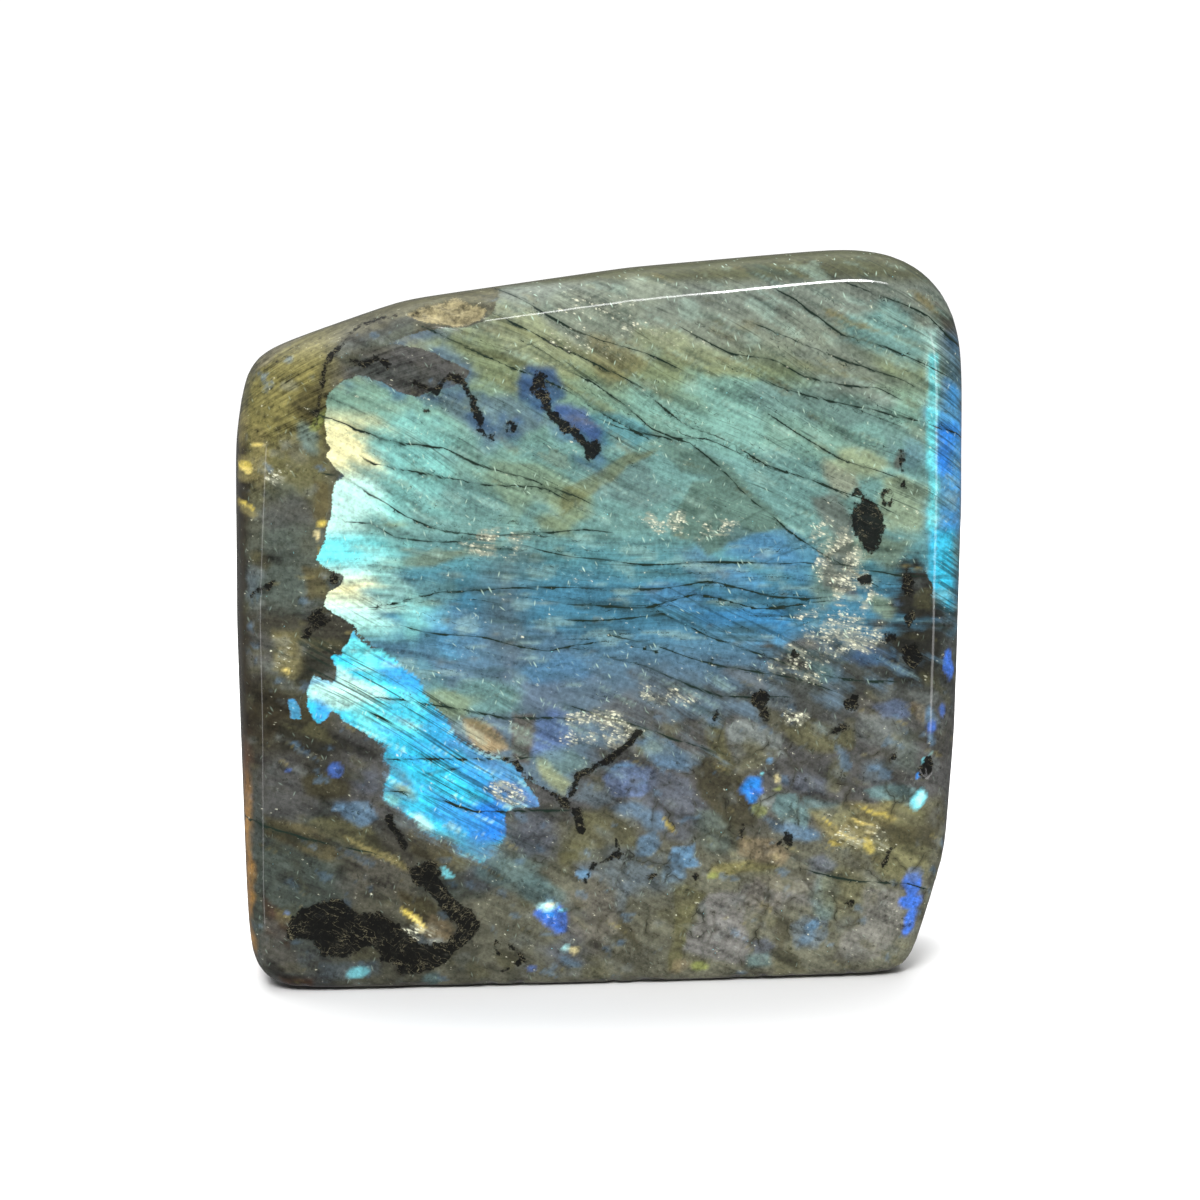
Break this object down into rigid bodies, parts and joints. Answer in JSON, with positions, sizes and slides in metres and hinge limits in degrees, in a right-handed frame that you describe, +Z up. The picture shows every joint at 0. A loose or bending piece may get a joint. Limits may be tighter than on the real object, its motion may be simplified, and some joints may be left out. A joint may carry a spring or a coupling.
{
  "type": "labradorite freeform",
  "caption": "Polished freeform display stone of labradorite: a thick slab with round edges, a nearly flat flashing front face, a domed back and a flat sawn base that it stands on.",
  "frame": {"origin": "middle of the stone's box, on the plane of its flat sawn base", "axes": "front face towards -Y, +X to the viewer's right, +Z up from the base"},
  "size_m": [0.1226, 0.0454, 0.1222],
  "materials": {
    "polished_labradorite": "polished"
  },
  "bodies": {
    "root": {"freeform_stone": "polished_labradorite"}
  },
  "joints": []
}
